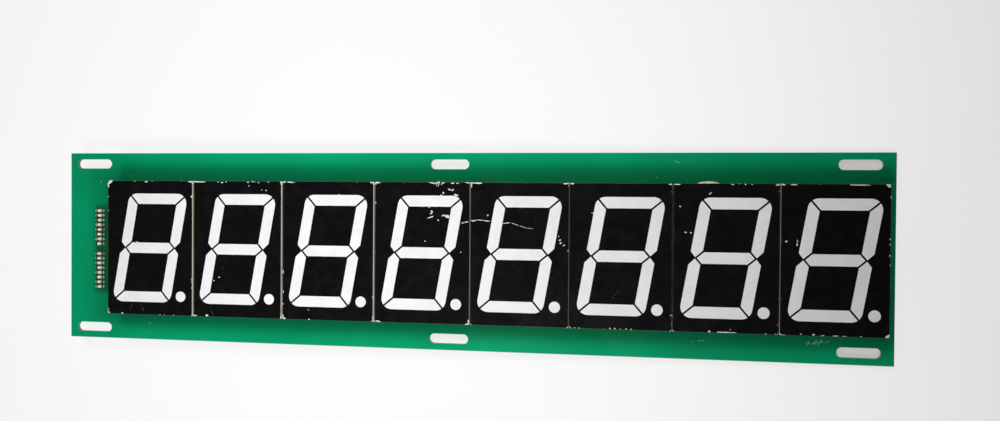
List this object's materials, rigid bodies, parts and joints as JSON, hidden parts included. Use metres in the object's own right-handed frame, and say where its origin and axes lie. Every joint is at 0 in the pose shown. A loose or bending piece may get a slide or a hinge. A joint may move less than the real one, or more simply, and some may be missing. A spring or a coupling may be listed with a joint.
{
  "type": "seven segment display board",
  "caption": "Row of slanted seven segment LED digits with decimal points on a long slotted circuit board, with rear pin headers, for a multiplexed numeric readout.",
  "frame": {"origin": "middle of the slot pattern, on the circuit board's rear face", "axes": "+X along the row of digits from first to last, +Y to the top of the digits, +Z out of the lit faces"},
  "size_m": [0.421, 0.099, 0.0261],
  "materials": {
    "board_laminate": "green solder mask over glass epoxy",
    "housing_plastic": "white moulding printed black on the face",
    "segment_resin": "milky diffusing resin",
    "led_board_laminate": "bare laminate",
    "pin_tin": "tinned",
    "header_plastic": "natural moulded plastic"
  },
  "bodies": {
    "root": {"circuit_board": "board_laminate", "digit_1_housing": "housing_plastic", "digit_1_segments": "segment_resin", "digit_1_led_board": "led_board_laminate", "digit_1_pins": "pin_tin", "digit_2_housing": "housing_plastic", "digit_2_segments": "segment_resin", "digit_2_led_board": "led_board_laminate", "digit_2_pins": "pin_tin", "digit_3_housing": "housing_plastic", "digit_3_segments": "segment_resin", "digit_3_led_board": "led_board_laminate", "digit_3_pins": "pin_tin", "digit_4_housing": "housing_plastic", "digit_4_segments": "segment_resin", "digit_4_led_board": "led_board_laminate", "digit_4_pins": "pin_tin", "digit_5_housing": "housing_plastic", "digit_5_segments": "segment_resin", "digit_5_led_board": "led_board_laminate", "digit_5_pins": "pin_tin", "digit_6_housing": "housing_plastic", "digit_6_segments": "segment_resin", "digit_6_led_board": "led_board_laminate", "digit_6_pins": "pin_tin", "digit_7_housing": "housing_plastic", "digit_7_segments": "segment_resin", "digit_7_led_board": "led_board_laminate", "digit_7_pins": "pin_tin", "digit_8_housing": "housing_plastic", "digit_8_segments": "segment_resin", "digit_8_led_board": "led_board_laminate", "digit_8_pins": "pin_tin", "upper_header_base": "header_plastic", "upper_header_pins": "pin_tin", "lower_header_base": "header_plastic", "lower_header_pins": "pin_tin"}
  },
  "joints": []
}
